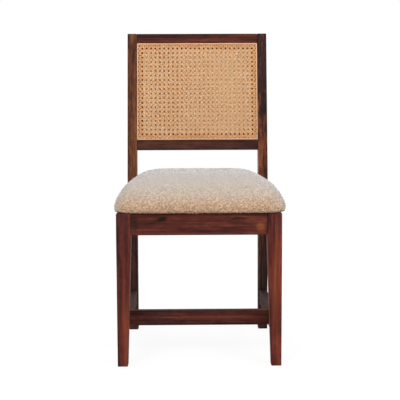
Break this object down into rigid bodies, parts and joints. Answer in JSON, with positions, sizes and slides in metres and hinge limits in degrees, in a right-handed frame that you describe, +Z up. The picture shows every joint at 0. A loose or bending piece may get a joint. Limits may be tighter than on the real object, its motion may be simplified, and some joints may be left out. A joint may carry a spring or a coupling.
{
  "type": "dining chair",
  "caption": "Armless dining chair with a dark stained wood frame, a woven cane back panel and a thick looped-cloth seat pad.",
  "frame": {"origin": "on the floor, under the middle of the chair's box", "axes": "+Z up, the chair faces -Y, and left and right are as seen from the front, with right towards +X"},
  "size_m": [0.475, 0.5189, 0.9576],
  "materials": {
    "stained_wood": "dark red-brown stain under satin lacquer",
    "bare_wood": "sawn, unfinished",
    "plywood": "unfinished",
    "cane": "split rattan cane, six-way weave, natural honey colour",
    "reed": "round reed spline, natural",
    "boucle_cloth": "looped off-white cloth",
    "foam": "open-cell polyurethane foam",
    "dust_cloth": "thin black nonwoven cloth",
    "zinc_steel": "zinc plated"
  },
  "bodies": {
    "root": {"front_leg_left": "stained_wood", "back_leg_left": "stained_wood", "side_apron_left": "stained_wood", "side_stretcher_left": "stained_wood", "front_leg_right": "stained_wood", "back_leg_right": "stained_wood", "side_apron_right": "stained_wood", "side_stretcher_right": "stained_wood", "front_apron": "stained_wood", "back_apron": "stained_wood", "cross_stretcher": "stained_wood", "top_rail": "stained_wood", "lower_back_rail": "stained_wood", "panel_batten_top": "stained_wood", "panel_batten_bottom": "stained_wood", "panel_batten_left": "stained_wood", "panel_batten_right": "stained_wood", "cane_front": "cane", "cane_spline_front_top": "reed", "cane_spline_front_bottom": "reed", "cane_spline_front_left": "reed", "cane_spline_front_right": "reed", "cane_back": "cane", "cane_spline_back_top": "reed", "cane_spline_back_bottom": "reed", "cane_spline_back_left": "reed", "cane_spline_back_right": "reed", "seat_cover": "boucle_cloth", "seat_foam": "foam", "seat_board": "plywood", "dust_cover": "dust_cloth", "corner_block_front_left": "bare_wood", "block_screw_front_left_end": "zinc_steel", "block_screw_front_left_side": "zinc_steel", "seat_screw_front_left": "zinc_steel", "corner_block_front_right": "bare_wood", "block_screw_front_right_end": "zinc_steel", "block_screw_front_right_side": "zinc_steel", "seat_screw_front_right": "zinc_steel", "corner_block_back_left": "bare_wood", "block_screw_back_left_end": "zinc_steel", "block_screw_back_left_side": "zinc_steel", "seat_screw_back_left": "zinc_steel", "corner_block_back_right": "bare_wood", "block_screw_back_right_end": "zinc_steel", "block_screw_back_right_side": "zinc_steel", "seat_screw_back_right": "zinc_steel"}
  },
  "joints": []
}
